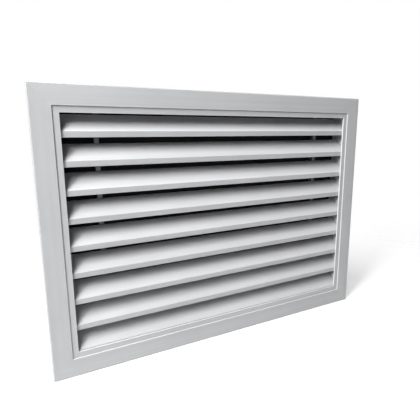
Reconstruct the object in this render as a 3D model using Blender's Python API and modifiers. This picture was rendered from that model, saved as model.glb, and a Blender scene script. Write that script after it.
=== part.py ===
"""Louvred air grille: a mitred aluminium frame round nine fixed sloping blades.

Metres, +Z up. The origin is the centre of the opening, in the wall plane, which is
the flange's rear face. The front faces -Y and the neck goes back along +Y.
"""
import math

import bmesh
import bpy
from mathutils import Matrix, Vector

MM = 0.001

# Driving dimensions
OPENING_WIDTH = 452 * MM
OPENING_HEIGHT = 302 * MM
FLANGE_WIDTH = 25 * MM
LIP_WIDTH = 8 * MM
FLANGE_THICKNESS = 1.8 * MM
STEP_DEPTH = 1.35 * MM
LIP_THICKNESS = 2 * MM
NECK_THICKNESS = 1.5 * MM
NECK_SETBACK = 1.2 * MM
NECK_DEPTH = 38 * MM
CLEARANCE = 0.3 * MM
WELD_DISTANCE = 0.01 * MM

FLANGE_EDGE = 0.7 * MM
STEP_EDGE = 0.35 * MM
BLADE_EDGE = 0.5 * MM

BLADE_COUNT = 9
TOP_BLADE_DROP = 1 * MM
BLADE_PITCH = 35 * MM
BLADE_THICKNESS = 1.4 * MM
BLADE_END_GAP = 1.2 * MM
NOSE_HEIGHT = 7.4 * MM
NOSE_LEAN = 0.6 * MM
NOSE_RETURN = 3.4 * MM
SLOPE_DEPTH = 16.5 * MM
SLOPE_RISE = 20 * MM
HEM_DEPTH = 2 * MM
HEM_HEIGHT = 4 * MM
PORT_ALONG_SLOPE = 14 * MM
PORT_INNER_RADIUS = 1.8 * MM
PORT_OUTER_RADIUS = 3 * MM
PORT_SLOT = 1.6 * MM

SCREW_RADIUS = 1.5 * MM
SCREW_HOLE_RADIUS = 1.8 * MM
SCREW_LENGTH = 13 * MM
SCREW_HEAD_RADIUS = 3.2 * MM
SCREW_HEAD_HEIGHT = 2.2 * MM
RECESS_LENGTH = 3.4 * MM
RECESS_WIDTH = 0.9 * MM
RECESS_DEPTH = 1.2 * MM

BAR_OFFSET = 182 * MM
BAR_WIDTH = 6 * MM
BAR_DEPTH = 7 * MM
BAR_TOOTH_REACH = 2.6 * MM
BAR_TOOTH_HEIGHT = 3 * MM
BAR_HOLE_DEPTH = 16 * MM

CLEAT_LEG = 18 * MM
CLEAT_THICKNESS = 1.5 * MM
CLEAT_WIDTH = 6 * MM
CLEAT_SETBACK = 21.5 * MM
RIVET_RADIUS = 1.3 * MM
RIVET_HEAD_RADIUS = 2.6 * MM
RIVET_HEAD_HEIGHT = 1 * MM
RIVET_TAIL = 1.2 * MM
RIVET_FROM_CORNER = 12 * MM

FILTER_THICKNESS = 5 * MM
FILTER_FRONT = 28 * MM
FILTER_CORNER = 3 * MM
WIRE_RADIUS = 1.2 * MM
WIRE_HOLE_RADIUS = 1.5 * MM
WIRE_HEIGHT = 75 * MM

CLIP_OFFSET = 120 * MM
CLIP_WIDTH = 14 * MM
CLIP_THICKNESS = 0.6 * MM
CLIP_INNER_LEG = 8 * MM
CLIP_BULGE = 7 * MM
CLIP_LIFT = 0.4 * MM
CLIP_LEG_FRONT = 3 * MM
CLIP_LEG_REAR = 29.6 * MM
CLIP_RIM_GRIP = 32.3 * MM
CLIP_BOW_SKEW = 1.4

ROUND_STEPS = 12

# Positions that follow from the driving dimensions
OUTER_HALF_WIDTH = OPENING_WIDTH / 2 + LIP_WIDTH + FLANGE_WIDTH
OUTER_HALF_HEIGHT = OPENING_HEIGHT / 2 + LIP_WIDTH + FLANGE_WIDTH
NECK_INNER = FLANGE_WIDTH + NECK_SETBACK
NECK_OUTER = NECK_INNER - NECK_THICKNESS
NECK_INNER_X = OUTER_HALF_WIDTH - NECK_INNER
NECK_INNER_Z = OUTER_HALF_HEIGHT - NECK_INNER
NECK_OUTER_X = OUTER_HALF_WIDTH - NECK_OUTER
NECK_OUTER_Z = OUTER_HALF_HEIGHT - NECK_OUTER
LIP_FRONT = STEP_DEPTH - FLANGE_THICKNESS
LIP_REAR = LIP_FRONT + LIP_THICKNESS
NOSE_FRONT = LIP_REAR + CLEARANCE
TOP_NOSE_HEIGHT = OPENING_HEIGHT / 2 - TOP_BLADE_DROP - SLOPE_RISE
BLADE_LENGTH = 2 * (NECK_INNER_X - BLADE_END_GAP)
HEM_REAR = NOSE_FRONT + SLOPE_DEPTH + HEM_DEPTH
BAR_FRONT = HEM_REAR + CLEARANCE
BAR_MIDDLE = BAR_FRONT + BAR_DEPTH / 2
WIRE_DEPTH = FILTER_FRONT + FILTER_THICKNESS + CLEARANCE + WIRE_RADIUS

SLOPE_LENGTH = math.hypot(SLOPE_DEPTH, SLOPE_RISE)
ALONG_SLOPE = Vector((SLOPE_DEPTH, SLOPE_RISE)) / SLOPE_LENGTH
UNDER_SLOPE = Vector((ALONG_SLOPE.y, -ALONG_SLOPE.x))
PORT_CENTRE = (
    UNDER_SLOPE * (BLADE_THICKNESS + PORT_INNER_RADIUS) + ALONG_SLOPE * PORT_ALONG_SLOPE
)

# Local X, Y and Z of a flat outline laid across the blades: depth, height and width
ACROSS = Matrix(((0, 0, 1), (1, 0, 0), (0, 1, 0))).to_4x4()


def reset_scene():
    for item in list(bpy.data.objects):
        bpy.data.objects.remove(item, do_unlink=True)


def make_collection(name):
    collection = bpy.data.collections.new(name)
    bpy.context.scene.collection.children.link(collection)
    return collection


def make_material(name, colour, roughness, metallic):
    material = bpy.data.materials.new(name)
    material.use_nodes = True
    shader = material.node_tree.nodes["Principled BSDF"]
    shader.inputs["Base Color"].default_value = (*colour, 1)
    shader.inputs["Roughness"].default_value = roughness
    shader.inputs["Metallic"].default_value = metallic
    return material


def arc(centre, radius, start, end, steps):
    """Points on a round corner, from the start angle to the end angle in degrees."""
    points = []
    for step in range(steps + 1):
        angle = math.radians(start + (end - start) * step / steps)
        points.append((centre[0] + radius * math.cos(angle), centre[1] + radius * math.sin(angle)))
    return points


def extruded_mesh(name, outline, length):
    """A closed mesh: the flat outline in XY, extruded by length and centred on Z = 0."""
    curve = bpy.data.curves.new(name, "CURVE")
    curve.dimensions = "2D"
    curve.fill_mode = "BOTH"
    curve.extrude = length / 2
    spline = curve.splines.new("POLY")
    spline.points.add(len(outline) - 1)
    for point, (x, y) in zip(spline.points, outline):
        point.co = (x, y, 0, 1)
    spline.use_cyclic_u = True
    guide = bpy.data.objects.new(name, curve)
    bpy.context.scene.collection.objects.link(guide)
    mesh = evaluated_mesh(guide, name)
    bpy.data.curves.remove(curve)
    return mesh


def evaluated_mesh(source, name):
    """The source's mesh with its modifiers applied and its caps welded. The source goes."""
    depsgraph = bpy.context.evaluated_depsgraph_get()
    mesh = bpy.data.meshes.new_from_object(source.evaluated_get(depsgraph))
    mesh.name = name
    work = bmesh.new()
    work.from_mesh(mesh)
    bmesh.ops.remove_doubles(work, verts=work.verts, dist=WELD_DISTANCE)
    work.to_mesh(mesh)
    work.free()
    if source.type == "MESH":
        bpy.data.objects.remove(source)
    return mesh


def place(name, mesh, material, matrix=None):
    """One named sub-part in the grille's collection."""
    part = bpy.data.objects.new(name, mesh)
    part.matrix_world = matrix if matrix else Matrix.Identity(4)
    if not mesh.materials:
        mesh.materials.append(material)
    grille.objects.link(part)
    return part


def drill(part, name, holes):
    """Cut round holes. Each is a centre, a direction, a radius and a length."""
    work = bmesh.new()
    for centre, direction, radius, length in holes:
        turn = Vector((0, 0, 1)).rotation_difference(Vector(direction)).to_matrix().to_4x4()
        bmesh.ops.create_cone(
            work,
            cap_ends=True,
            segments=ROUND_STEPS,
            radius1=radius,
            radius2=radius,
            depth=length,
            matrix=Matrix.Translation(Vector(centre)) @ turn,
        )
    mesh = bpy.data.meshes.new(name)
    work.to_mesh(mesh)
    work.free()
    cutter = bpy.data.objects.new(name, mesh)
    cutter.display_type = "WIRE"
    cutter.hide_render = True
    cutters.objects.link(cutter)
    cut = part.modifiers.new("holes", "BOOLEAN")
    cut.operation = "DIFFERENCE"
    cut.object = cutter


def nose_height(index):
    """Height of a blade's nose edge, for blades numbered from 0 at the top."""
    return TOP_NOSE_HEIGHT - BLADE_PITCH * index


def port_position(index):
    """Depth and height of a blade's screw port."""
    return NOSE_FRONT + PORT_CENTRE.x, nose_height(index) + PORT_CENTRE.y


# Frame members

def frame_outline():
    """Section of a frame extrusion: X goes inward from the outer edge, Y goes back."""
    outline = [(0, 0)]
    outline += arc((FLANGE_EDGE, FLANGE_EDGE - FLANGE_THICKNESS), FLANGE_EDGE, 180, 270, 3)
    step = (FLANGE_WIDTH - STEP_EDGE, STEP_EDGE - FLANGE_THICKNESS)
    outline += arc(step, STEP_EDGE, 270, 360, 2)
    outline.append((FLANGE_WIDTH, LIP_FRONT))
    lip = (FLANGE_WIDTH + LIP_WIDTH - FLANGE_EDGE, LIP_FRONT + FLANGE_EDGE)
    outline += arc(lip, FLANGE_EDGE, 270, 360, 3)
    outline += [
        (FLANGE_WIDTH + LIP_WIDTH, LIP_REAR),
        (NECK_INNER, LIP_REAR),
        (NECK_INNER, NECK_DEPTH),
        (NECK_OUTER, NECK_DEPTH),
        (NECK_OUTER, 0),
    ]
    return outline


def mitre(mesh, half_length):
    """Move both ends to the 45 degree planes, half a clearance short of them."""
    gap = CLEARANCE / math.sqrt(2)
    for vertex in mesh.vertices:
        end = half_length - gap - vertex.co.x
        vertex.co.z = math.copysign(end, vertex.co.z)


def make_frame():
    members = [
        ("frame_left", 0, (-OUTER_HALF_WIDTH, 0, 0), OUTER_HALF_HEIGHT),
        ("frame_top", 90, (0, 0, OUTER_HALF_HEIGHT), OUTER_HALF_WIDTH),
        ("frame_right", 180, (OUTER_HALF_WIDTH, 0, 0), OUTER_HALF_HEIGHT),
        ("frame_bottom", 270, (0, 0, -OUTER_HALF_HEIGHT), OUTER_HALF_WIDTH),
    ]
    material = make_material("frame_finish", (0.62, 0.63, 0.65), 0.38, 0.85)
    for name, turn, location, half_length in members:
        mesh = extruded_mesh(name, frame_outline(), 2 * half_length)
        mitre(mesh, half_length)
        matrix = Matrix.Translation(location) @ Matrix.Rotation(math.radians(turn), 4, "Y")
        part = place(name, mesh, material, matrix)
        if name in ("frame_left", "frame_right"):
            drill(part, name + "_holes", side_holes(math.copysign(1, location[0])))
        else:
            drill(part, name + "_holes", end_holes(math.copysign(1, location[2])))


def side_holes(side):
    """Holes in a side member: blade screws, filter wires and corner rivets."""
    middle = side * (NECK_INNER_X + NECK_OUTER_X) / 2
    length = 4 * NECK_THICKNESS
    holes = []
    for index in range(BLADE_COUNT):
        depth, height = port_position(index)
        holes.append(((middle, depth, height), (side, 0, 0), SCREW_HOLE_RADIUS, length))
    for end in (-1, 1):
        wire = (middle, WIRE_DEPTH, end * WIRE_HEIGHT)
        holes.append((wire, (side, 0, 0), WIRE_HOLE_RADIUS, length))
        rivet = (middle, CLEAT_SETBACK + CLEAT_WIDTH / 2, end * (NECK_INNER_Z - RIVET_FROM_CORNER))
        holes.append((rivet, (side, 0, 0), RIVET_RADIUS + CLEARANCE, length))
    return holes


def end_holes(side):
    """Holes in the top or bottom member: bar screws and corner rivets."""
    middle = side * (NECK_INNER_Z + NECK_OUTER_Z) / 2
    length = 4 * NECK_THICKNESS
    holes = []
    for end in (-1, 1):
        screw = (end * BAR_OFFSET, BAR_MIDDLE, middle)
        holes.append((screw, (0, 0, side), SCREW_HOLE_RADIUS, length))
        rivet = (end * (NECK_INNER_X - RIVET_FROM_CORNER), CLEAT_SETBACK + CLEAT_WIDTH / 2, middle)
        holes.append((rivet, (0, 0, side), RIVET_RADIUS + CLEARANCE, length))
    return holes


# Corner cleats and their rivets

def make_cleats():
    """An angle inside each corner of the neck, riveted to both members."""
    outer = CLEAT_LEG
    inner = CLEAT_THICKNESS
    outline = [(0, 0), (outer, 0), (outer, inner)]
    outline += arc((2 * inner, 2 * inner), inner, 270, 180, 3)
    outline += [(inner, outer), (0, outer)]
    mesh = extruded_mesh("corner_cleat", outline, CLEAT_WIDTH)
    material = make_material("cleat_finish", (0.55, 0.56, 0.58), 0.45, 0.9)
    rivet_mesh = make_rivet_mesh()
    rivet_material = make_material("rivet_finish", (0.6, 0.6, 0.62), 0.4, 0.9)
    depth = CLEAT_SETBACK + CLEAT_WIDTH / 2
    corner_x = NECK_INNER_X - CLEARANCE
    corner_z = NECK_INNER_Z - CLEARANCE
    corners = [
        ("top_left", -1, 1, 90),
        ("top_right", 1, 1, 180),
        ("bottom_right", 1, -1, 270),
        ("bottom_left", -1, -1, 0),
    ]
    for name, x_side, z_side, turn in corners:
        upright = Matrix.Rotation(math.radians(90), 4, "X")
        spin = Matrix.Rotation(math.radians(turn), 4, "Y")
        location = Matrix.Translation((x_side * corner_x, depth, z_side * corner_z))
        cleat = place("corner_cleat_" + name, mesh.copy(), material, location @ spin @ upright)
        rivet_x = x_side * (NECK_INNER_X - RIVET_FROM_CORNER)
        rivet_z = z_side * (NECK_INNER_Z - RIVET_FROM_CORNER)
        cleat_x = x_side * (corner_x - inner / 2)
        cleat_z = z_side * (corner_z - inner / 2)
        hole = RIVET_RADIUS + CLEARANCE
        holes = [
            ((cleat_x, depth, rivet_z), (x_side, 0, 0), hole, 3 * inner),
            ((rivet_x, depth, cleat_z), (0, 0, z_side), hole, 3 * inner),
        ]
        drill(cleat, "cleat_holes_" + name, holes)
        side_seat = Vector((x_side * (NECK_OUTER_X + CLEARANCE), depth, rivet_z))
        end_seat = Vector((rivet_x, depth, z_side * (NECK_OUTER_Z + CLEARANCE)))
        side_rivet = seated(side_seat, (x_side, 0, 0))
        end_rivet = seated(end_seat, (0, 0, z_side))
        place("corner_rivet_side_" + name, rivet_mesh, rivet_material, side_rivet)
        place("corner_rivet_end_" + name, rivet_mesh, rivet_material, end_rivet)


def seated(point, outward):
    """Place a turned fastener whose head's underside is at the point, head outward."""
    turn = Vector((0, 0, 1)).rotation_difference(Vector(outward)).to_matrix().to_4x4()
    return Matrix.Translation(point) @ turn


def turned_object(name, profile):
    """A solid of revolution about Z, from an outer profile that runs top to bottom."""
    mesh = bpy.data.meshes.new(name)
    vertices = [(radius, 0, height) for radius, height in profile]
    edges = [(index, index + 1) for index in range(len(profile) - 1)]
    mesh.from_pydata(vertices, edges, [])
    item = bpy.data.objects.new(name, mesh)
    bpy.context.scene.collection.objects.link(item)
    turn = item.modifiers.new("turn", "SCREW")
    turn.steps = ROUND_STEPS
    turn.render_steps = ROUND_STEPS
    turn.use_merge_vertices = True
    turn.merge_threshold = WELD_DISTANCE
    return item


def make_rivet_mesh():
    reach = 2 * CLEARANCE + NECK_THICKNESS + CLEAT_THICKNESS + RIVET_TAIL
    profile = [(0, RIVET_HEAD_HEIGHT)]
    profile += [
        (0.6 * RIVET_HEAD_RADIUS, 0.85 * RIVET_HEAD_HEIGHT),
        (RIVET_HEAD_RADIUS, 0.25 * RIVET_HEAD_HEIGHT),
        (RIVET_HEAD_RADIUS, 0),
        (RIVET_RADIUS, 0),
        (RIVET_RADIUS, -reach),
        (0, -reach),
    ]
    return evaluated_mesh(turned_object("rivet", profile), "rivet")


# Blades

def blade_outline():
    """Section of a blade: X goes back from the nose's front, Y goes up from its top edge.

    The nose leans, so that its lower edge is a little behind its upper one.
    """
    edge = BLADE_EDGE
    under = UNDER_SLOPE * BLADE_THICKNESS

    def under_slope_at(depth):
        along = (depth - under.x) / ALONG_SLOPE.x
        return depth, under.y + ALONG_SLOPE.y * along

    def port_arc(radius, start, end, steps):
        points = []
        for x, y in arc((0, 0), radius, start, end, steps):
            point = PORT_CENTRE + ALONG_SLOPE * x + UNDER_SLOPE * y
            points.append((point.x, point.y))
        return points

    root = math.degrees(math.asin(PORT_INNER_RADIUS / PORT_OUTER_RADIUS))
    outer_slot = math.degrees(math.asin(PORT_SLOT / 2 / PORT_OUTER_RADIUS))
    inner_slot = math.degrees(math.asin(PORT_SLOT / 2 / PORT_INNER_RADIUS))
    slope_angle = math.degrees(math.atan2(SLOPE_RISE, SLOPE_DEPTH))
    rear = SLOPE_DEPTH + HEM_DEPTH
    bend = Vector((edge, -edge * math.tan(math.radians((90 - slope_angle) / 2))))

    outline = arc((NOSE_LEAN + edge, edge - NOSE_HEIGHT), edge, 270, 180, 2)
    outline += arc(bend, edge, 180, 90 + slope_angle, 2)
    outline.append((SLOPE_DEPTH, SLOPE_RISE))
    outline += arc((rear - edge, SLOPE_RISE - edge), edge, 90, 0, 2)
    outline.append((rear, SLOPE_RISE - HEM_HEIGHT))
    outline.append((rear - BLADE_THICKNESS, SLOPE_RISE - HEM_HEIGHT))
    outline.append(under_slope_at(rear - BLADE_THICKNESS))
    outline += port_arc(PORT_OUTER_RADIUS, -root, 90 - outer_slot, 4)
    outline += port_arc(PORT_INNER_RADIUS, 90 - inner_slot, inner_slot - 270, 9)
    outline += port_arc(PORT_OUTER_RADIUS, 90 + outer_slot, 180 + root, 4)
    outline.append(under_slope_at(BLADE_THICKNESS))
    outline.append((NOSE_LEAN + BLADE_THICKNESS, BLADE_THICKNESS - NOSE_HEIGHT))
    outline.append((NOSE_RETURN, BLADE_THICKNESS - NOSE_HEIGHT))
    outline.append((NOSE_RETURN, -NOSE_HEIGHT))
    return outline


def make_blades():
    mesh = extruded_mesh("blade", blade_outline(), BLADE_LENGTH)
    material = make_material("blade_finish", (0.66, 0.67, 0.69), 0.36, 0.85)
    for index in range(BLADE_COUNT):
        location = Matrix.Translation((0, NOSE_FRONT, nose_height(index)))
        place(f"blade_{index + 1}", mesh, material, location @ ACROSS)


# Screws

def make_screw_mesh():
    """A pan head screw with a cross recess. Its head's underside is at Z = 0."""
    profile = [(0, SCREW_HEAD_HEIGHT)]
    profile += [
        (0.62 * SCREW_HEAD_RADIUS, 0.95 * SCREW_HEAD_HEIGHT),
        (0.92 * SCREW_HEAD_RADIUS, 0.6 * SCREW_HEAD_HEIGHT),
        (SCREW_HEAD_RADIUS, 0),
        (SCREW_RADIUS, 0),
        (SCREW_RADIUS, SCREW_RADIUS - SCREW_LENGTH),
        (0, -SCREW_LENGTH),
    ]
    screw = turned_object("screw", profile)
    slots = []
    for turn, size in ((0, (RECESS_LENGTH, RECESS_WIDTH)), (1, (RECESS_WIDTH, RECESS_LENGTH))):
        work = bmesh.new()
        bmesh.ops.create_cube(work, size=1)
        bmesh.ops.scale(work, vec=(*size, 2 * RECESS_DEPTH), verts=work.verts)
        bmesh.ops.translate(work, vec=(0, 0, SCREW_HEAD_HEIGHT), verts=work.verts)
        mesh = bpy.data.meshes.new(f"recess_{turn}")
        work.to_mesh(mesh)
        work.free()
        slot = bpy.data.objects.new(f"recess_{turn}", mesh)
        cutters.objects.link(slot)
        cut = screw.modifiers.new(f"recess_{turn}", "BOOLEAN")
        cut.operation = "DIFFERENCE"
        cut.object = slot
        slots.append(slot)
    mesh = evaluated_mesh(screw, "screw")
    for slot in slots:
        bpy.data.objects.remove(slot)
    return mesh


def make_screws():
    """Each blade has a screw through the neck at both ends, and so has each bar."""
    mesh = make_screw_mesh()
    material = make_material("screw_finish", (0.55, 0.55, 0.53), 0.3, 1)
    for index in range(BLADE_COUNT):
        depth, height = port_position(index)
        for name, side in (("left", -1), ("right", 1)):
            seat = Vector((side * (NECK_OUTER_X + CLEARANCE), depth, height))
            place(f"blade_screw_{name}_{index + 1}", mesh, material, seated(seat, (side, 0, 0)))
    for x_name, x_side in (("left", -1), ("right", 1)):
        for z_name, z_side in (("top", 1), ("bottom", -1)):
            height = z_side * (NECK_OUTER_Z + CLEARANCE)
            seat = Vector((x_side * BAR_OFFSET, BAR_MIDDLE, height))
            place(f"bar_screw_{x_name}_{z_name}", mesh, material, seated(seat, (0, 0, z_side)))


# Rear support bars

def bar_outline():
    """Side view of a bar: a straight strip with a tooth under each blade's hem."""
    end = NECK_INNER_Z - CLEARANCE
    tooth_front = BAR_FRONT - BAR_TOOTH_REACH
    outline = [(BAR_FRONT, end)]
    for index in range(BLADE_COUNT):
        top = nose_height(index) + SLOPE_RISE - HEM_HEIGHT - CLEARANCE
        outline += [
            (BAR_FRONT, top),
            (tooth_front, top),
            (tooth_front, top - BAR_TOOTH_HEIGHT / 2),
            (BAR_FRONT, top - BAR_TOOTH_HEIGHT),
        ]
    outline += [(BAR_FRONT, -end), (BAR_FRONT + BAR_DEPTH, -end), (BAR_FRONT + BAR_DEPTH, end)]
    return outline


def make_bars():
    mesh = extruded_mesh("support_bar", bar_outline(), BAR_WIDTH)
    material = make_material("bar_finish", (0.5, 0.51, 0.53), 0.45, 0.85)
    for name, side in (("left", -1), ("right", 1)):
        location = Matrix.Translation((side * BAR_OFFSET, 0, 0))
        bar = place("support_bar_" + name, mesh, material, location @ ACROSS)
        holes = []
        for end in (-1, 1):
            centre = (side * BAR_OFFSET, BAR_MIDDLE, end * NECK_INNER_Z)
            holes.append((centre, (0, 0, end), SCREW_HOLE_RADIUS, 2 * BAR_HOLE_DEPTH))
        drill(bar, "bar_holes_" + name, holes)


# Filter pad and its wires

def make_filter():
    half_width = NECK_INNER_X - CLEARANCE
    half_height = NECK_INNER_Z - CLIP_THICKNESS - 2 * CLEARANCE
    outline = []
    for x_side, z_side, start in ((1, 1, 0), (-1, 1, 90), (-1, -1, 180), (1, -1, 270)):
        centre_x = x_side * (half_width - FILTER_CORNER)
        centre_z = z_side * (half_height - FILTER_CORNER)
        outline += arc((centre_x, centre_z), FILTER_CORNER, start, start + 90, 3)
    mesh = extruded_mesh("filter_pad", outline, FILTER_THICKNESS)
    material = make_material("filter_foam", (0.015, 0.015, 0.016), 0.95, 0)
    upright = Matrix.Rotation(math.radians(90), 4, "X")
    middle = FILTER_FRONT + FILTER_THICKNESS / 2
    place("filter_pad", mesh, material, Matrix.Translation((0, middle, 0)) @ upright)


def make_filter_wires():
    """Two spring wires behind the pad, with their ends in the side members' holes."""
    material = make_material("wire_finish", (0.6, 0.6, 0.6), 0.25, 1)
    for name, side in (("upper", 1), ("lower", -1)):
        bpy.ops.mesh.primitive_cylinder_add(
            vertices=ROUND_STEPS,
            radius=WIRE_RADIUS,
            depth=2 * (NECK_OUTER_X - CLEARANCE),
            location=(0, WIRE_DEPTH, side * WIRE_HEIGHT),
            rotation=(0, math.radians(90), 0),
        )
        wire = bpy.context.object
        wire.name = "filter_wire_" + name
        wire.data.materials.append(material)
        for owner in list(wire.users_collection):
            owner.objects.unlink(wire)
        grille.objects.link(wire)


# Spring clips

def strip_outline(path, thickness):
    """Outline of a bent strip, offset to both sides of its middle line."""
    points = [Vector(point) for point in path]
    near = []
    far = []
    for index, point in enumerate(points):
        before = (point - points[max(index - 1, 0)]).normalized()
        after = (points[min(index + 1, len(points) - 1)] - point).normalized()
        along = (before + after).normalized()
        across = Vector((-along.y, along.x))
        stretch = max(along.dot(before), along.dot(after))
        near.append(point + across * thickness / 2 / stretch)
        far.append(point - across * thickness / 2 / stretch)
    return [tuple(point) for point in near + far[::-1]]


def clip_path():
    """Middle line of a clip on the top member: round the rear rim, then a bowed outer leg."""
    inner = NECK_INNER_Z - CLEARANCE - CLIP_THICKNESS / 2
    outer = NECK_OUTER_Z + CLEARANCE + CLIP_THICKNESS / 2
    rim = NECK_DEPTH + CLEARANCE
    path = [(rim - CLIP_INNER_LEG, inner)]
    path += arc((rim, (inner + outer) / 2), (outer - inner) / 2, -90, 90, 6)
    path.append((CLIP_RIM_GRIP, outer))
    steps = 8
    for step in range(steps + 1):
        share = step / steps
        depth = CLIP_LEG_REAR + (CLIP_LEG_FRONT - CLIP_LEG_REAR) * share
        bow = CLIP_BULGE * math.sin(math.pi * share ** CLIP_BOW_SKEW)
        path.append((depth, outer + bow + CLIP_LIFT))
    return path


def make_clips():
    mesh = extruded_mesh("spring_clip", strip_outline(clip_path(), CLIP_THICKNESS), CLIP_WIDTH)
    material = make_material("clip_finish", (0.62, 0.62, 0.6), 0.28, 1)
    for x_name, x_side in (("left", -1), ("right", 1)):
        for z_name, turn in (("top", 0), ("bottom", 180)):
            location = Matrix.Translation((x_side * CLIP_OFFSET, 0, 0))
            spin = Matrix.Rotation(math.radians(turn), 4, "Y")
            place(f"spring_clip_{z_name}_{x_name}", mesh, material, location @ spin @ ACROSS)


def shade(angle):
    """Smooth round faces and keep the edges sharper than the angle."""
    for part in grille.objects:
        part.data.shade_smooth()
        part.data.set_sharp_from_angle(angle=math.radians(angle))


reset_scene()
grille = make_collection("louvred_air_grille")
cutters = make_collection("cutters")
make_frame()
make_cleats()
make_blades()
make_screws()
make_bars()
make_filter()
make_filter_wires()
make_clips()
shade(32)
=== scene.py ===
"""Looks of the louvred air grille: finer pieces, finishes, lights and camera round the CAD frame."""
import math

import bmesh
import bpy
from mathutils import Matrix, Vector
from mathutils import noise as mathutils_noise


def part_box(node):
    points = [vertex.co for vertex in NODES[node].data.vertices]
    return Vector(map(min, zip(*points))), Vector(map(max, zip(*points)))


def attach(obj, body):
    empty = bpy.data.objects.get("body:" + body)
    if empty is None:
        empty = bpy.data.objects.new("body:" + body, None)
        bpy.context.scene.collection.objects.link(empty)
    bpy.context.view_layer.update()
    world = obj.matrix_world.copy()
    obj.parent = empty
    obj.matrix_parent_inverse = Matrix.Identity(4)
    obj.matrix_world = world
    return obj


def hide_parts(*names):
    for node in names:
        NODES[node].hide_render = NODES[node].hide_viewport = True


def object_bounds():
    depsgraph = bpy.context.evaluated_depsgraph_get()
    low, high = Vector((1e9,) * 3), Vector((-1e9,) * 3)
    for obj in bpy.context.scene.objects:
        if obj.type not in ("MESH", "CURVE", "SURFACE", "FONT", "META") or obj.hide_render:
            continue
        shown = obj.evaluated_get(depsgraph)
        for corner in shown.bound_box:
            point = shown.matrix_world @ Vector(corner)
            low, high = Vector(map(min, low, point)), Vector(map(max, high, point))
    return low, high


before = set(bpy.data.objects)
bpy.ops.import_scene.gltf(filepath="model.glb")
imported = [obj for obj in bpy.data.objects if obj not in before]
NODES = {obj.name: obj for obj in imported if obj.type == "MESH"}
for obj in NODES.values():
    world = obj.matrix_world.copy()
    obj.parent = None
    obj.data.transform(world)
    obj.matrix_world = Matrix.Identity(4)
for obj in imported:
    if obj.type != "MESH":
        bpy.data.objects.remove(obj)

CAD_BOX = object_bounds()
MM = 0.001

# Section of the frame extrusion: the CAD model's sizes, with a finer chamfer and a closer mitre
FLANGE_WIDTH = 25 * MM
LIP_WIDTH = 8 * MM
STEP_DEPTH = 1.35 * MM
LIP_THICKNESS = 2 * MM
NECK_THICKNESS = 1.5 * MM
NECK_SETBACK = 1.2 * MM
CHAMFER_WIDTH = 1.5 * MM
CHAMFER_DEPTH = 0.95 * MM
MITRE_GAP = 0.01 * MM

# Section of a blade, as in the CAD model
BLADE_THICKNESS = 1.4 * MM
NOSE_HEIGHT = 7.4 * MM
NOSE_LEAN = 0.6 * MM
NOSE_RETURN = 3.4 * MM
HEM_DEPTH = 2 * MM
HEM_HEIGHT = 4 * MM
PORT_ALONG_SLOPE = 14 * MM
PORT_INNER_RADIUS = 1.8 * MM
PORT_OUTER_RADIUS = 3 * MM
PORT_SLOT = 1.6 * MM

# Fasteners and the holes that they pass through. SCREW_SPIN, in radians, turns each cross its own way
SCREW_HEAD_RADIUS = 3.2 * MM
SCREW_HEAD_HEIGHT = 2.2 * MM
SCREW_RADIUS = 1.5 * MM
SCREW_LENGTH = 13 * MM
SCREW_HOLE_RADIUS = 1.8 * MM
RIVET_HEAD_RADIUS = 2.6 * MM
RIVET_HEAD_HEIGHT = 1 * MM
RIVET_RADIUS = 1.3 * MM
RIVET_LENGTH = 4.8 * MM
RIVET_HOLE_RADIUS = 1.5 * MM
WIRE_HOLE_RADIUS = 1.5 * MM
HOLE_REACH = 2 * MM
SCREW_SPIN = 0.9
WELD_DISTANCE = 0.01 * MM
SLIVER_SIZE = 0.005 * MM

# Cleats, bars and clips. A clip's outer leg bows out from CLIP_BOW_START of its rim's depth
CLEAT_THICKNESS = 1.5 * MM
CLEARANCE = 0.3 * MM
TOOTH_TIP = 1.5 * MM
TOOTH_ROOT = 3 * MM
CLIP_THICKNESS = 0.6 * MM
CLIP_INNER_LEG = 8 * MM
CLIP_BOW_START = 0.84
CLIP_BOW_SKEW = 1.4
CLIP_BOW_EASE = 1.3

# Filter pad: rounded edge, grid, and how far its two faces lie in from the CAD faces
PAD_EDGE = 2 * MM
PAD_SPACING = 3.2 * MM
PAD_INSET = 0.35 * MM
PAD_GRAIN = 0.14 * MM
PAD_GRAIN_SCALE = 260
PAD_SWELL = 0.2 * MM
PAD_SWELL_SCALE = 22
PAD_PRESSED = 1.1 * MM
PAD_PRESSED_REACH = 7 * MM

# Arcs. A blunt one has more steps, so that it turns too little at each point to get the edge wear and painted
# highlight
BLUNT_RADIUS = 0.7 * MM
BLUNT_STEPS = 12
SHARP_STEPS = 6

# Edge wear and painted highlight on the coating's long outer edges, painted lighter: none up to BLUNT_TURN
# between two faces, full from FULL_TURN
EDGE_FADE = 0.5 * MM
LONG_EDGE = 200 * MM
BLUNT_TURN = math.radians(5)
FULL_TURN = math.radians(7.5)
WEAR_AND_HIGHLIGHT_TONE = 1.6

# Camera, fitted to the grille's outline and blades: place in metres, heading towards +X, tilt upward
# and roll in degrees, lens in millimetres
CAMERA_PLACE = (-0.2813, -0.4729, 0.1231)
CAMERA_HEADING = 27.849
CAMERA_TILT = -11.147
CAMERA_ROLL = -0.442
CAMERA_LENS = 32.186

# Upright soft lights: name, degrees from the front towards +X, degrees up, watts
SOFT_LIGHTS = (
    ("key", -60, 40, 25),
    ("key_high", -60, 65, 18),
    ("key_low", -60, 15, 3.5),
    ("key_inner", -45, 40, 10),
    ("key_outer", -75, 40, 9),
    ("back", 150, 35, 14),
)
LIGHT_DISTANCE = 1.7
LIGHT_WIDTH = 0.25
LIGHT_HEIGHT = 0.75
FLOOR_RADIUS = 1.1

BLADES = [f"blade_{index}" for index in range(1, 10)]
ACROSS = Matrix(((0, 0, 1), (1, 0, 0), (0, 1, 0))).to_4x4()


# Node helpers

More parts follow.
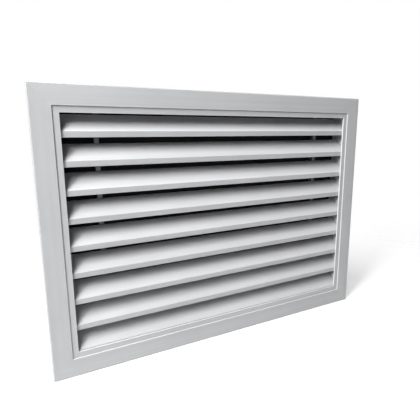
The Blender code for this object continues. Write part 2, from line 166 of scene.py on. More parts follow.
def new_material(name, metallic=0.0, **constants):
    """A material with a Principled shader. Constant values go straight on its sockets."""
    material = bpy.data.materials.new(name)
    material.use_nodes = True
    shader = material.node_tree.nodes["Principled BSDF"]
    shader.inputs["Metallic"].default_value = metallic
    for socket, value in constants.items():
        shader.inputs[socket.replace("_", " ")].default_value = value
    return material, material.node_tree, shader


def add(tree, kind, **settings):
    node = tree.nodes.new(kind)
    for name, value in settings.items():
        setattr(node, name, value)
    return node


def mapped(tree, scale, offset=(0, 0, 0)):
    """Object coordinates, scaled along each axis."""
    place = add(tree, "ShaderNodeTexCoord")
    mapping = add(tree, "ShaderNodeMapping")
    mapping.inputs["Scale"].default_value = scale
    mapping.inputs["Location"].default_value = offset
    tree.links.new(place.outputs["Object"], mapping.inputs["Vector"])
    return mapping.outputs["Vector"]


def noise(tree, scale, detail=2.0, roughness=0.5, offset=(0, 0, 0)):
    node = add(tree, "ShaderNodeTexNoise")
    node.inputs["Scale"].default_value = 1
    node.inputs["Detail"].default_value = detail
    node.inputs["Roughness"].default_value = roughness
    tree.links.new(mapped(tree, scale, offset), node.inputs["Vector"])
    return node.outputs["Fac"]


def cells(tree, scale, feature="F1"):
    node = add(tree, "ShaderNodeTexVoronoi", feature=feature)
    node.inputs["Scale"].default_value = 1
    tree.links.new(mapped(tree, scale), node.inputs["Vector"])
    return node.outputs["Distance"]


def remap(tree, value, low, high, to_low, to_high):
    node = add(tree, "ShaderNodeMapRange")
    node.inputs["From Min"].default_value = low
    node.inputs["From Max"].default_value = high
    node.inputs["To Min"].default_value = to_low
    node.inputs["To Max"].default_value = to_high
    tree.links.new(value, node.inputs["Value"])
    return node.outputs["Result"]


def combine(tree, operation, first, second):
    node = add(tree, "ShaderNodeMath", operation=operation)
    for socket, value in zip(node.inputs, (first, second)):
        if isinstance(value, (int, float)):
            socket.default_value = value
        else:
            tree.links.new(value, socket)
    return node.outputs["Value"]


def blend_colours(tree, factor, dark, light, clamp=True):
    node = add(tree, "ShaderNodeMix", data_type="RGBA", clamp_factor=clamp)
    node.inputs[6].default_value = (*dark, 1)
    node.inputs[7].default_value = (*light, 1)
    tree.links.new(factor, node.inputs[0])
    return node.outputs[2]


def bump(tree, shader, height, strength, distance):
    node = add(tree, "ShaderNodeBump")
    node.inputs["Strength"].default_value = strength
    node.inputs["Distance"].default_value = distance
    tree.links.new(height, node.inputs["Height"])
    tree.links.new(node.outputs["Normal"], shader.inputs["Normal"])


# Finishes

def satin_coat(name, along, dark, light):
    """Silver powder coat on an extrusion: fine grain, orange peel, faint die lines, and long outer edges
    painted lighter, partly as wear and partly as a painted highlight.
    """
    material, tree, shader = new_material(name, Specular_IOR_Level=0.35)
    long_scale = [1400, 1400, 1400]
    long_scale["XYZ".index(along)] = 2.5
    die_lines = noise(tree, long_scale, detail=3, roughness=0.6)
    band_scale = [150, 150, 150]
    band_scale["XYZ".index(along)] = 1.2
    bands = noise(tree, band_scale, detail=2, roughness=0.4, offset=(3, 1, 7))
    grain = noise(tree, (5200, 5200, 5200), detail=1)
    peel = noise(tree, (900, 900, 900), detail=2)
    clouds = noise(tree, (9, 9, 9), detail=3, roughness=0.6, offset=(1, 4, 2))
    tone = combine(tree, "ADD", remap(tree, bands, 0.3, 0.7, 0, 0.35), remap(tree, clouds, 0.3, 0.7, 0, 0.3))
    tone = combine(tree, "ADD", tone, remap(tree, grain, 0.3, 0.7, 0, 0.2))
    tone = combine(tree, "ADD", tone, remap(tree, die_lines, 0.3, 0.7, 0, 0.15))
    # Edge mask: the coat is painted lighter along long outer edges, partly as wear and partly as a painted
    # highlight
    edge = add(tree, "ShaderNodeAttribute", attribute_name="edge_wear_and_highlight").outputs["Fac"]
    patchy_wear_and_highlight = combine(tree, "MULTIPLY", edge, remap(tree, bands, 0.2, 0.8, 0.75, 1))
    worn_and_highlit = combine(tree, "ADD", tone, combine(tree, "MULTIPLY", patchy_wear_and_highlight, WEAR_AND_HIGHLIGHT_TONE))
    tree.links.new(blend_colours(tree, worn_and_highlit, dark, light, clamp=False), shader.inputs["Base Color"])
    streaks = remap(tree, die_lines, 0.3, 0.7, 0, 0.05)
    rough = combine(tree, "ADD", remap(tree, clouds, 0.3, 0.7, 0.38, 0.44), streaks)
    tree.links.new(rough, shader.inputs["Roughness"])
    height = combine(tree, "ADD", combine(tree, "MULTIPLY", die_lines, 0.6), peel)
    bump(tree, shader, height, 0.22, 0.0001)
    return material


def mill_metal(name, along, dark, light, rough):
    """Bare rolled metal: drawn lines along one axis, dull spots and light scratches."""
    material, tree, shader = new_material(name, metallic=1.0)
    scale = [1800, 1800, 1800]
    scale["XYZ".index(along)] = 14
    lines = noise(tree, scale, detail=3, roughness=0.65)
    spots = noise(tree, (160, 160, 160), detail=4, roughness=0.65, offset=(2, 8, 5))
    tone = combine(tree, "ADD", remap(tree, lines, 0.3, 0.7, 0, 0.6), remap(tree, spots, 0.35, 0.7, 0, 0.4))
    tree.links.new(blend_colours(tree, tone, dark, light), shader.inputs["Base Color"])
    dulled = remap(tree, spots, 0.35, 0.7, rough, rough + 0.14)
    rough_value = combine(tree, "ADD", dulled, remap(tree, lines, 0.3, 0.7, 0, 0.06))
    tree.links.new(rough_value, shader.inputs["Roughness"])
    bump(tree, shader, lines, 0.25, 0.00006)
    return material


def zinc_plate(name):
    """Zinc-plated steel: small crystal patches with a faint warm tint."""
    material, tree, shader = new_material(name, metallic=1.0)
    patches = cells(tree, (1500, 1500, 1500))
    haze = noise(tree, (420, 420, 420), detail=4, roughness=0.6)
    tone = combine(tree, "ADD", remap(tree, patches, 0, 0.9, 0, 0.4), remap(tree, haze, 0.3, 0.7, 0, 0.6))
    colour = blend_colours(tree, tone, (0.42, 0.42, 0.40), (0.70, 0.69, 0.64))
    tree.links.new(colour, shader.inputs["Base Color"])
    tree.links.new(remap(tree, haze, 0.3, 0.7, 0.24, 0.42), shader.inputs["Roughness"])
    bump(tree, shader, haze, 0.2, 0.00005)
    return material


def open_foam(name):
    """Black open-cell foam: dark pores between slightly lighter struts."""
    material, tree, shader = new_material(name)
    shader.inputs["Specular IOR Level"].default_value = 0.25
    large = cells(tree, (620, 620, 620), feature="DISTANCE_TO_EDGE")
    small = cells(tree, (1500, 1500, 1500), feature="DISTANCE_TO_EDGE")
    dust = noise(tree, (26, 26, 26), detail=4, roughness=0.6)
    struts = combine(tree, "ADD", remap(tree, large, 0.0, 0.22, 0.7, 0), remap(tree, small, 0.0, 0.2, 0.2, 0))
    struts = combine(tree, "ADD", struts, remap(tree, dust, 0.4, 0.75, 0, 0.15))
    colour = blend_colours(tree, struts, (0.002, 0.002, 0.0022), (0.022, 0.022, 0.024))
    tree.links.new(colour, shader.inputs["Base Color"])
    tree.links.new(remap(tree, dust, 0.3, 0.7, 0.82, 0.98), shader.inputs["Roughness"])
    bump(tree, shader, struts, 0.9, 0.0008)
    return material


COAT_DARK = (0.385, 0.389, 0.396)
COAT_LIGHT = (0.49, 0.494, 0.502)
coat_across = satin_coat("satin_coat_across", "X", COAT_DARK, COAT_LIGHT)
coat_upright = satin_coat("satin_coat_upright", "Z", COAT_DARK, COAT_LIGHT)
# The blades' coat is a lighter copy of the frame's coat: the extra lightness is painted light
coat_blade_lightened = satin_coat("satin_coat_blade_lightened", "X", (0.405, 0.409, 0.418), (0.502, 0.506, 0.515))
# The bars' aluminium is painted far darker than the cleats' bare aluminium: painted shade for where they
# stand behind the blades
mill_upright_shaded = mill_metal("mill_aluminium_painted_shade", "Z", (0.10, 0.10, 0.105), (0.18, 0.18, 0.187), 0.5)
mill_cleat = mill_metal("mill_cleat", "Y", (0.45, 0.46, 0.48), (0.66, 0.67, 0.69), 0.32)
spring_steel = mill_metal("spring_steel", "Y", (0.42, 0.42, 0.40), (0.68, 0.67, 0.64), 0.22)
drawn_wire = mill_metal("drawn_wire", "X", (0.57, 0.57, 0.56), (0.70, 0.695, 0.68), 0.24)
zinc = zinc_plate("zinc_plate")
foam = open_foam("open_foam")


# Shape helpers

def rounded(corners, guarded=False):
    """A closed outline from corners of x, y and radius, each corner turned into an arc.

    A guarded outline has a point beside each end of its arcs, which keeps the edge wear and painted highlight
    off the flats.
    """
    arcs = []
    for index, (x, y, radius) in enumerate(corners):
        corner = Vector((x, y))
        before = (Vector(corners[index - 1][:2]) - corner).normalized()
        after = (Vector(corners[(index + 1) % len(corners)][:2]) - corner).normalized()
        if radius <= 0:
            arcs.append([corner])
            continue
        steps = BLUNT_STEPS if radius > BLUNT_RADIUS else SHARP_STEPS
        half = before.angle(after) / 2
        centre = corner + (before + after).normalized() * radius / math.sin(half)
        start = corner + before * radius / math.tan(half) - centre
        end = corner + after * radius / math.tan(half) - centre
        sweep = start.angle_signed(end)
        turns = [Matrix.Rotation(-sweep * step / steps, 2) for step in range(steps + 1)]
        arcs.append([centre + turn @ start for turn in turns])
    outline = []
    for index, points in enumerate(arcs):
        outline += points
        following = arcs[(index + 1) % len(arcs)][0]
        flat = following - points[-1]
        if guarded and flat.length > 2.5 * EDGE_FADE:
            guard = flat.normalized() * EDGE_FADE
            outline += [points[-1] + guard, following - guard]
    return [tuple(point) for point in outline]


def arc(centre, radius, start, end, steps):
    points = []
    for step in range(steps + 1):
        angle = math.radians(start + (end - start) * step / steps)
        points.append((centre[0] + radius * math.cos(angle), centre[1] + radius * math.sin(angle)))
    return points


def extruded(name, outline, length):
    """A closed mesh from a flat outline in XY, extruded by length and centred on Z = 0."""
    work = bmesh.new()
    ring = [work.verts.new((x, y, -length / 2)) for x, y in outline]
    face = work.faces.new(ring)
    top = bmesh.ops.extrude_face_region(work, geom=[face])
    moved = [item for item in top["geom"] if isinstance(item, bmesh.types.BMVert)]
    bmesh.ops.translate(work, vec=(0, 0, length), verts=moved)
    bmesh.ops.recalc_face_normals(work, faces=work.faces)
    mesh = bpy.data.meshes.new(name)
    work.to_mesh(mesh)
    work.free()
    return mesh


def piece(name, mesh, material, replaced, smooth=35):
    """A finished piece in the row frame, which stands for its CAD nodes."""
    item = bpy.data.objects.new(name, mesh)
    bpy.context.scene.collection.objects.link(item)
    mesh.materials.clear()
    mesh.materials.append(material)
    mesh.shade_smooth()
    mesh.set_sharp_from_angle(angle=math.radians(smooth))
    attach(item, "root")
    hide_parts(*replaced)
    return item


def drill(mesh, holes):
    """Cut round holes in a mesh. Each is a centre, a direction, a radius and a length."""
    work = bmesh.new()
    round_end = {"cap_ends": True, "segments": 24}
    for centre, direction, radius, length in holes:
        turn = Vector((0, 0, 1)).rotation_difference(Vector(direction)).to_matrix().to_4x4()
        place = Matrix.Translation(Vector(centre)) @ turn
        bmesh.ops.create_cone(work, radius1=radius, radius2=radius, depth=length, matrix=place, **round_end)
    return cut_away(mesh, work)


def cut_away(mesh, work):
    """The mesh less the cutter held in work, which is freed."""
    cutter_mesh = bpy.data.meshes.new("cutter")
    work.to_mesh(cutter_mesh)
    work.free()
    cutter = bpy.data.objects.new("cutter", cutter_mesh)
    body = bpy.data.objects.new("body", mesh)
    for item in (cutter, body):
        bpy.context.scene.collection.objects.link(item)
    cut = body.modifiers.new("cut", "BOOLEAN")
    cut.operation = "DIFFERENCE"
    cut.object = cutter
    depsgraph = bpy.context.evaluated_depsgraph_get()
    result = bpy.data.meshes.new_from_object(body.evaluated_get(depsgraph))
    for item in (cutter, body):
        bpy.data.objects.remove(item)
    return result


# Places read from the CAD model
FRAME_LOW, FRAME_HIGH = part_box("frame_left")
OUTER_HALF_WIDTH = -FRAME_LOW.x
OUTER_HALF_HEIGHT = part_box("frame_top")[1].z
FLANGE_FRONT = FRAME_LOW.y
NECK_REAR = FRAME_HIGH.y
NECK_INNER = FLANGE_WIDTH + NECK_SETBACK
NECK_OUTER = NECK_INNER - NECK_THICKNESS
NECK_INNER_X = OUTER_HALF_WIDTH - NECK_INNER
NECK_INNER_Z = OUTER_HALF_HEIGHT - NECK_INNER
LIP_FRONT = FLANGE_FRONT + STEP_DEPTH
LIP_REAR = LIP_FRONT + LIP_THICKNESS


# Frame

def frame_outline():
    """Section of a frame member: X goes inward from the outer edge, Y goes back."""
    return rounded([
        (0, 0, 0.25 * MM),
        (0, FLANGE_FRONT + CHAMFER_DEPTH, 0.8 * MM),
        (CHAMFER_WIDTH, FLANGE_FRONT, 1.2 * MM),
        (FLANGE_WIDTH, FLANGE_FRONT, 0.3 * MM),
        (FLANGE_WIDTH, LIP_FRONT, 0.15 * MM),
        (FLANGE_WIDTH + LIP_WIDTH, LIP_FRONT, 0.45 * MM),
        (FLANGE_WIDTH + LIP_WIDTH, LIP_REAR, 0.4 * MM),
        (NECK_INNER, LIP_REAR, 0.3 * MM),
        (NECK_INNER, NECK_REAR, 0.35 * MM),
        (NECK_OUTER, NECK_REAR, 0.35 * MM),
        (NECK_OUTER, 0, 0.3 * MM),
    ], guarded=True)


def mark_worn_and_highlit_edges(mesh):
    """Mark the points along the long sharp outer edges of an extrusion, where its coating wears and where a
    highlight is painted.
    """
    work = bmesh.new()
    work.from_mesh(mesh)
    wear = []
    for vertex in work.verts:
        turns = [
            edge.calc_face_angle_signed(0)
            for edge in vertex.link_edges
            if edge.is_manifold and edge.calc_length() > LONG_EDGE
        ]
        sharpness = (max([0] + turns) - BLUNT_TURN) / (FULL_TURN - BLUNT_TURN)
        wear.append(min(max(sharpness, 0), 1))
    work.free()
    layer = mesh.attributes.new("edge_wear_and_highlight", "FLOAT", "POINT")
    layer.data.foreach_set("value", wear)


def node_centre(name):
    low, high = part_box(name)
    return (low + high) / 2


def member_holes(name):
    """Holes for the screws, rivets and wires that pass through one frame member.

    Known fault: the top and the bottom member each take the bar screws of both ends, so every bar-screw
    hole is cut twice in one place. The two cuts cancel, and the hole stays closed under the screw's head.
    """
    sides = {
        "frame_left": ("blade_screw_left", "corner_rivet_side", "filter_wire"),
        "frame_right": ("blade_screw_right", "corner_rivet_side", "filter_wire"),
        "frame_top": ("bar_screw", "corner_rivet_end"),
        "frame_bottom": ("bar_screw", "corner_rivet_end"),
    }
    radii = {
        "blade_screw": SCREW_HOLE_RADIUS,
        "bar_screw": SCREW_HOLE_RADIUS,
        "corner_rivet": RIVET_HOLE_RADIUS,
        "filter_wire": WIRE_HOLE_RADIUS,
    }
    low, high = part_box(name)
    upright = name in ("frame_left", "frame_right")
    direction = (1, 0, 0) if upright else (0, 0, 1)
    holes = []
    for node in sorted(NODES):
        if not node.startswith(sides[name]):
            continue
        centre = node_centre(node)
        radius = next(size for start, size in radii.items() if node.startswith(start))
        if upright:
            centre.x = math.copysign(NECK_INNER_X + NECK_THICKNESS / 2, low.x)
        else:
            centre.z = math.copysign(NECK_INNER_Z + NECK_THICKNESS / 2, low.z)
        if node.startswith("corner_rivet") and not inside(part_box(node), low, high):
            continue
        holes.append((centre, direction, radius, 4 * NECK_THICKNESS))
    return holes


def inside(box, low, high):
    """Whether the middle of a fastener's box lies in a member's box, give or take HOLE_REACH."""
    middle = (box[0] + box[1]) / 2
    return all(low[axis] - HOLE_REACH < middle[axis] < high[axis] + HOLE_REACH for axis in range(3))


def make_frame():
    members = [
        ("frame_left", 0, (-OUTER_HALF_WIDTH, 0, 0), OUTER_HALF_HEIGHT, coat_upright),
        ("frame_top", 90, (0, 0, OUTER_HALF_HEIGHT), OUTER_HALF_WIDTH, coat_across),
        ("frame_right", 180, (OUTER_HALF_WIDTH, 0, 0), OUTER_HALF_HEIGHT, coat_upright),
        ("frame_bottom", 270, (0, 0, -OUTER_HALF_HEIGHT), OUTER_HALF_WIDTH, coat_across),
    ]
    for name, turn, location, half_length, material in members:
        mesh = extruded(name + "_coated", frame_outline(), 2 * half_length)
        for vertex in mesh.vertices:
            vertex.co.z = math.copysign(half_length - MITRE_GAP - vertex.co.x, vertex.co.z)
        mesh.transform(Matrix.Translation(location) @ Matrix.Rotation(math.radians(turn), 4, "Y"))
        mark_worn_and_highlit_edges(mesh)
        mesh = drill(mesh, member_holes(name))
        piece(name + "_coated", mesh, material, [name])


# Blades

def blade_outline(slope_depth, slope_rise):
    """Section of a blade: X goes back from the nose's front, Y goes up from its top edge."""
    length = math.hypot(slope_depth, slope_rise)
    along = Vector((slope_depth, slope_rise)) / length
    under = Vector((along.y, -along.x))
    centre = under * (BLADE_THICKNESS + PORT_INNER_RADIUS) + along * PORT_ALONG_SLOPE
    rear = slope_depth + HEM_DEPTH

    def under_slope_at(depth):
        run = (depth - under.x * BLADE_THICKNESS) / along.x
        return depth, under.y * BLADE_THICKNESS + along.y * run

    def port_arc(radius, start, end, steps):
        points = [centre + along * x + under * y for x, y in arc((0, 0), radius, start, end, steps)]
        return [(point.x, point.y, 0) for point in points]

    root = math.degrees(math.asin(PORT_INNER_RADIUS / PORT_OUTER_RADIUS))
    outer_slot = math.degrees(math.asin(PORT_SLOT / 2 / PORT_OUTER_RADIUS))
    inner_slot = math.degrees(math.asin(PORT_SLOT / 2 / PORT_INNER_RADIUS))
    corners = [
        (NOSE_LEAN, -NOSE_HEIGHT, 0.6 * MM),
        (0, 0, 0.5 * MM),
        (slope_depth, slope_rise, 1.2 * MM),
        (rear, slope_rise, 0.6 * MM),
        (rear, slope_rise - HEM_HEIGHT, 0.5 * MM),
        (rear - BLADE_THICKNESS, slope_rise - HEM_HEIGHT, 0.5 * MM),
        (*under_slope_at(rear - BLADE_THICKNESS), 0.4 * MM),
    ]
    corners += port_arc(PORT_OUTER_RADIUS, -root, 90 - outer_slot, 10)
    corners += port_arc(PORT_INNER_RADIUS, 90 - inner_slot, inner_slot - 270, 24)
    corners += port_arc(PORT_OUTER_RADIUS, 90 + outer_slot, 180 + root, 10)
    corners += [
        (*under_slope_at(BLADE_THICKNESS), 0.5 * MM),
        (NOSE_LEAN + BLADE_THICKNESS, BLADE_THICKNESS - NOSE_HEIGHT, 0.4 * MM),
        (NOSE_RETURN, BLADE_THICKNESS - NOSE_HEIGHT, 0.5 * MM),
        (NOSE_RETURN, -NOSE_HEIGHT, 0.5 * MM),
    ]
    return rounded(corners, guarded=True)


def make_blades():
    for name in BLADES:
        low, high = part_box(name)
        rise = high.z - low.z - NOSE_HEIGHT
        depth = high.y - low.y - HEM_DEPTH
        mesh = extruded(name + "_coated", blade_outline(depth, rise), high.x - low.x)
        mesh.transform(Matrix.Translation((0, low.y, low.z + NOSE_HEIGHT)) @ ACROSS)
        mark_worn_and_highlit_edges(mesh)
        piece(name + "_coated", mesh, coat_blade_lightened, [name])


# Fasteners

def turned(name, profile, steps=32):
    """A solid of revolution about Z from its outer profile, radius and height, top to bottom."""
    work = bmesh.new()
    ring = [work.verts.new((radius, 0, height)) for radius, height in profile]
    edges = [work.edges.new(pair) for pair in zip(ring, ring[1:])]
    bmesh.ops.spin(
        work, geom=ring + edges, cent=(0, 0, 0), axis=(0, 0, 1), angle=math.tau, steps=steps, use_merge=True
    )
    bmesh.ops.remove_doubles(work, verts=work.verts, dist=WELD_DISTANCE)
    bmesh.ops.recalc_face_normals(work, faces=work.faces)
    mesh = bpy.data.meshes.new(name)
    work.to_mesh(mesh)
    work.free()
    return mesh


def screw_mesh():
    """A pan head with a tapered cross recess, on a plain shank with a pointed end."""
    radius = SCREW_HEAD_RADIUS
    height = SCREW_HEAD_HEIGHT
    shank = SCREW_RADIUS
    profile = [(0, height)]
    profile += [
        (radius * math.sin(math.radians(angle)), height * (0.42 + 0.58 * math.cos(math.radians(angle))))
        for angle in range(15, 91, 15)
    ]
    profile += [(radius, 0.12 * height), (0.96 * radius, 0), (shank, 0)]
    profile += [(shank, shank - SCREW_LENGTH), (0, -SCREW_LENGTH)]
    mesh = turned("screw", profile)
    for long_x, long_y in ((1.0, 0.26), (0.26, 1.0)):
        work = bmesh.new()
        bmesh.ops.create_cone(
            work, cap_ends=True, segments=4, radius1=0.5 * radius, radius2=radius, depth=1.6 * height
        )
        bmesh.ops.rotate(work, verts=work.verts, matrix=Matrix.Rotation(math.radians(45), 3, "Z"))
        bmesh.ops.scale(work, vec=(long_x, long_y, 1), verts=work.verts)
        bmesh.ops.translate(work, vec=(0, 0, height * 1.2), verts=work.verts)
        mesh = cut_away(mesh, work)
    return without_slivers(mesh)


def without_slivers(mesh):
    """The mesh less the sliver faces that its cuts left."""
    work = bmesh.new()
    work.from_mesh(mesh)
    bmesh.ops.dissolve_degenerate(work, dist=SLIVER_SIZE, edges=work.edges)
    bmesh.ops.triangulate(work, faces=[face for face in work.faces if len(face.verts) > 4])
    work.to_mesh(mesh)
    work.free()
    return mesh


def rivet_mesh():
    """A blind rivet: a domed head with a dimple, and a tail that is upset behind the cleat."""
    radius = RIVET_HEAD_RADIUS
    height = RIVET_HEAD_HEIGHT
    shank = RIVET_RADIUS
    tail = 1.35 * RIVET_RADIUS
    end = -RIVET_LENGTH
    profile = [(0, 0.72 * height), (0.24 * radius, 0.72 * height), (0.3 * radius, height)]
    profile += [
        (radius * math.sin(math.radians(angle)), height * (0.15 + 0.85 * math.cos(math.radians(angle))))
        for angle in range(30, 91, 12)
    ]
    profile += [(radius, 0.1 * height), (0.97 * radius, 0), (shank, 0), (shank, end + 1.1 * MM)]
    profile += [(tail, end + 0.9 * MM), (tail, end + 0.4 * MM), (shank, end), (0, end)]
    return turned("rivet", profile, steps=28)


def fastener_place(node, height):
    """Matrix that puts a turned fastener where its CAD node is, with the head outward."""
    low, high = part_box(node)
    middle = (low + high) / 2
    size = high - low
    axis = 0 if size.x > size.z else 2
    outward = Vector((0, 0, 0))
    outward[axis] = math.copysign(1, middle[axis])
    seat = middle.copy()
    seat[axis] = (high if outward[axis] > 0 else low)[axis] - outward[axis] * height
    turn = Vector((0, 0, 1)).rotation_difference(outward).to_matrix().to_4x4()
    return Matrix.Translation(seat) @ turn


def make_fasteners():
    screw = screw_mesh()
    rivet = rivet_mesh()
    for index, node in enumerate(sorted(NODES)):
        if "_screw_" in node:
            spin = Matrix.Rotation(index * SCREW_SPIN, 4, "Z")
            mesh = screw.copy()
            mesh.transform(fastener_place(node, SCREW_HEAD_HEIGHT) @ spin)
            piece(node + "_plated", mesh, zinc, [node], smooth=30)
        if "_rivet_" in node:
            mesh = rivet.copy()
            mesh.transform(fastener_place(node, RIVET_HEAD_HEIGHT))
            piece(node + "_set", mesh, mill_cleat, [node], smooth=40)


# Cleats, bars and clips

def softened(mesh, width, angle=40):
    """The mesh with its sharp edges rounded off."""
    work = bmesh.new()
    work.from_mesh(mesh)
    sharp = [edge for edge in work.edges if edge.is_manifold and edge.calc_face_angle() > math.radians(angle)]
    bmesh.ops.bevel(work, geom=sharp, offset=width, segments=2, affect="EDGES", clamp_overlap=True)
    work.to_mesh(mesh)
    work.free()
    return mesh


def make_cleats():
    for node in sorted(NODES):
        if not node.startswith("corner_cleat"):
            continue
        low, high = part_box(node)
        leg = high.x - low.x
        outline = rounded([
            (0, 0, 0.5 * MM),
            (leg, 0, 0),
            (leg, CLEAT_THICKNESS, 0),
            (CLEAT_THICKNESS, CLEAT_THICKNESS, 1.5 * MM),
            (CLEAT_THICKNESS, leg, 0),
            (0, leg, 0),
        ])
        mesh = softened(extruded(node, outline, high.y - low.y), width=0.2 * MM)
        x_side = math.copysign(1, low.x)
        z_side = math.copysign(1, low.z)
        corner = Vector((x_side * max(abs(low.x), abs(high.x)), (low.y + high.y) / 2, 0))
        corner.z = z_side * max(abs(low.z), abs(high.z))
        axes = Matrix(((-x_side, 0, 0), (0, 0, x_side * z_side), (0, -z_side, 0))).to_4x4()
        mesh.transform(Matrix.Translation(corner) @ axes)
        holes = []
        for rivet in sorted(NODES):
            if not rivet.startswith("corner_rivet") or not rivet.endswith(node.removeprefix("corner_cleat")):
                continue
            centre = node_centre(rivet)
            sideways = "_side_" in rivet
            direction = (1, 0, 0) if sideways else (0, 0, 1)
            holes.append((centre, direction, RIVET_HOLE_RADIUS, 8 * CLEAT_THICKNESS))
        mesh = drill(mesh, holes)
        piece(node + "_angle", mesh, mill_cleat, [node])


def make_bars():
    """Each bar has a tooth under every blade's hem, with its corners eased.

    Known fault: the holes for the end screws, which the CAD bars have, are missing.
    """
    for node in ("support_bar_left", "support_bar_right"):
        low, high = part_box(node)
        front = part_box(BLADES[0])[1].y + CLEARANCE
        corners = [(front, high.z, 0.6 * MM)]
        for blade in BLADES:
            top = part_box(blade)[1].z - HEM_HEIGHT - CLEARANCE
            corners += [
                (front, top, 0.5 * MM),
                (low.y, top, 0.5 * MM),
                (low.y, top - TOOTH_TIP, 0.6 * MM),
                (front, top - TOOTH_ROOT, 0.8 * MM),
            ]
        corners += [(front, low.z, 0.6 * MM), (high.y, low.z, 0.6 * MM), (high.y, high.z, 0.6 * MM)]
        mesh = softened(extruded(node, rounded(corners), high.x - low.x), width=0.15 * MM)
        mesh.transform(Matrix.Translation(((low.x + high.x) / 2, 0, 0)) @ ACROSS)
        piece(node + "_milled", mesh, mill_upright_shaded, [node])


def clip_path(low, high):
    """Middle line of a clip at the top: hooked round the rear rim, then a bowed outer leg."""
    half = CLIP_THICKNESS / 2
    inner = NECK_INNER_Z - CLEARANCE - half
    outer = NECK_INNER_Z + NECK_THICKNESS + CLEARANCE + half
    radius = (outer - inner) / 2
    rim = high.y - radius - half
    path = [(rim - CLIP_INNER_LEG, inner), (rim - CLIP_INNER_LEG / 2, inner)]
    path += arc((rim, (inner + outer) / 2), radius, -90, 90, 16)
    leg_rear = CLIP_BOW_START * rim
    leg_front = low.y + half
    bow = high.z - outer - 2.2 * half
    steps = 30
    for step in range(steps + 1):
        share = step / steps
        bulge = math.sin(math.pi * share ** CLIP_BOW_SKEW) ** CLIP_BOW_EASE
        path.append((leg_rear + (leg_front - leg_rear) * share, outer + bow * bulge))
    return path


def strip_outline(path, thickness):
    """The closed outline of a strip that is bent along a path."""
    points = [Vector(point) for point in path]
    near = []
    far = []
    for index, point in enumerate(points):
        before = points[max(index - 1, 0)]
        after = points[min(index + 1, len(points) - 1)]
        along = (after - before).normalized()
        across = Vector((-along.y, along.x)) * thickness / 2
        near.append(tuple(point + across))
        far.append(tuple(point - across))
    return near + far[::-1]


def make_clips():
    for node in sorted(NODES):
        if not node.startswith("spring_clip"):
            continue
        low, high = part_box(node)
        upper = low, high
        if low.z < 0:
            upper = Vector((low.x, low.y, -high.z)), Vector((high.x, high.y, -low.z))
        outline = strip_outline(clip_path(*upper), CLIP_THICKNESS)
        mesh = softened(extruded(node, outline, high.x - low.x), width=0.1 * MM, angle=50)
        mesh.transform(ACROSS)
        if low.z < 0:
            mesh.transform(Matrix.Rotation(math.pi, 4, "Y"))
        mesh.transform(Matrix.Translation(((low.x + high.x) / 2, 0, 0)))
        piece(node + "_sprung", mesh, spring_steel, [node])


# Filter pad and its wires

def edge_spaced(length, edge_radius, spacing):
    """Positions along a length, dense near both ends where the edge is round."""
    near = [edge_radius * share for share in (0, 0.06, 0.2, 0.42, 0.7, 1)]
    count = round((length - 2 * edge_radius) / spacing)
    middle = [edge_radius + (length - 2 * edge_radius) * step / count for step in range(1, count)]
    return near + middle + [length - value for value in reversed(near)]


def make_filter():
    """A foam pad with soft round edges, pressed in along its two wires."""
    low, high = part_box("filter_pad")
    wires = [node_centre(node).z for node in ("filter_wire_lower", "filter_wire_upper")]
    across = edge_spaced(high.x - low.x, PAD_EDGE, PAD_SPACING)
    upward = edge_spaced(high.z - low.z, PAD_EDGE, PAD_SPACING)
    half = (high.y - low.y) / 2
    middle = (high.y + low.y) / 2
    work = bmesh.new()
    sheets = {}
    for side in (-1, 1):
        for column, x in enumerate(across):
            for row, z in enumerate(upward):
                rim = column in (0, len(across) - 1) or row in (0, len(upward) - 1)
                if rim and side == 1:
                    sheets[side, column, row] = sheets[-1, column, row]
                    continue
                inward = min(x, z, across[-1] - x, upward[-1] - z)
                share = min(inward / PAD_EDGE, 1)
                crown = math.sqrt(1 - (1 - share) ** 2)
                place = Vector((low.x + x, 0, low.z + z))
                grain = mathutils_noise.noise(place * PAD_GRAIN_SCALE + Vector((0, side * 9, 0)))
                swell = mathutils_noise.noise(place * PAD_SWELL_SCALE + Vector((0, side * 5, 0)))
                relief = PAD_INSET - PAD_GRAIN * grain - PAD_SWELL * swell
                if side == 1:
                    for wire in wires:
                        relief += PAD_PRESSED * math.exp(-((place.z - wire) / PAD_PRESSED_REACH) ** 2)
                place.y = middle + side * crown * (half - relief)
                sheets[side, column, row] = work.verts.new(place)
    for side in (-1, 1):
        for column in range(len(across) - 1):
            for row in range(len(upward) - 1):
                corners = [(column, row), (column + 1, row), (column + 1, row + 1), (column, row + 1)]
                work.faces.new([sheets[side, *corner] for corner in corners[::-side]])
    bmesh.ops.recalc_face_normals(work, faces=work.faces)
    mesh = bpy.data.meshes.new("filter_pad_foam")
    work.to_mesh(mesh)
    work.free()
    pad = piece("filter_pad_foam", mesh, foam, ["filter_pad"], smooth=60)


def make_wires():
    """Straight spring wires with cut ends that are slightly rounded over."""
    for node in ("filter_wire_lower", "filter_wire_upper"):
        low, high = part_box(node)
        radius = (high.z - low.z) / 2
        half = (high.x - low.x) / 2
        crown = [(0, 0), (0.55, 0.03), (0.8, 0.12), (0.94, 0.32), (1, 0.6)]
        profile = [(radius * out, half - radius * drop) for out, drop in crown]
        profile += [(radius * out, radius * drop - half) for out, drop in reversed(crown)]
        mesh = turned(node, profile, steps=24)
        turn = Matrix.Rotation(math.radians(90), 4, "Y")
        mesh.transform(Matrix.Translation(node_centre(node)) @ turn)
        piece(node + "_drawn", mesh, drawn_wire, [node])


# Floor, lights and camera

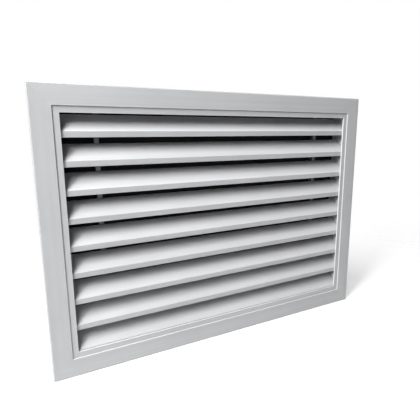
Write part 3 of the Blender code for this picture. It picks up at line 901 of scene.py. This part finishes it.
def make_floor():
    """A pale round floor that fades into the white surround at its rim."""
    bpy.ops.mesh.primitive_circle_add(
        vertices=96, radius=FLOOR_RADIUS, fill_type="NGON", location=(0, 0, CAD_BOX[0][2])
    )
    floor = bpy.context.object
    floor.name = "studio_floor"
    material, tree, shader = new_material("studio_floor", Roughness=0.7)
    mottle = noise(tree, (1.5, 1.5, 1.5), detail=2)
    colour = blend_colours(tree, mottle, (0.90, 0.90, 0.90), (0.93, 0.93, 0.93))
    tree.links.new(colour, shader.inputs["Base Color"])
    gradient = add(tree, "ShaderNodeTexGradient", gradient_type="SPHERICAL")
    reach = [1 / FLOOR_RADIUS] * 3
    tree.links.new(mapped(tree, reach), gradient.inputs["Vector"])
    fade = remap(tree, gradient.outputs["Fac"], 0.05, 0.7, 0, 0.6)
    tree.links.new(fade, shader.inputs["Alpha"])
    floor.data.materials.append(material)


def soft_light(name, azimuth, elevation, power):
    """An upright strip of light that faces the middle of the grille."""
    data = bpy.data.lights.new(name, "AREA")
    data.shape = "RECTANGLE"
    data.size = LIGHT_WIDTH
    data.size_y = LIGHT_HEIGHT
    data.energy = power
    light = bpy.data.objects.new(name, data)
    turn = math.radians(azimuth)
    rise = math.radians(elevation)
    away = Vector((math.sin(turn) * math.cos(rise), -math.cos(turn) * math.cos(rise), math.sin(rise)))
    light.location = LIGHT_DISTANCE * away
    light.rotation_euler = (-away).to_track_quat("-Z", "Y").to_euler()
    bpy.context.scene.collection.objects.link(light)


def make_lights():
    """A white surround for the camera and for gloss, a bank of lights on the left, one at the back."""
    world = bpy.data.worlds.new("studio_surround")
    world.use_nodes = True
    background = world.node_tree.nodes["Background"]
    background.inputs["Color"].default_value = (1, 1, 1, 1)
    background.inputs["Strength"].default_value = 1.0
    world.cycles_visibility.diffuse = False
    bpy.context.scene.world = world
    for light in SOFT_LIGHTS:
        soft_light(*light)
    bpy.context.scene.view_settings.view_transform = "Standard"


def make_camera():
    data = bpy.data.cameras.new("studio_camera")
    data.sensor_width = 36
    data.lens = CAMERA_LENS
    data.clip_start = 0.01
    camera = bpy.data.objects.new("studio_camera", data)
    heading = Matrix.Rotation(math.radians(-CAMERA_HEADING), 4, "Z")
    tilt = Matrix.Rotation(math.radians(90 + CAMERA_TILT), 4, "X")
    roll = Matrix.Rotation(math.radians(CAMERA_ROLL), 4, "Z")
    camera.matrix_world = Matrix.Translation(CAMERA_PLACE) @ heading @ tilt @ roll
    bpy.context.scene.collection.objects.link(camera)
    bpy.context.scene.camera = camera


make_frame()
make_blades()
make_fasteners()
make_cleats()
make_bars()
make_filter()
make_wires()
make_clips()
make_floor()
make_lights()
make_camera()
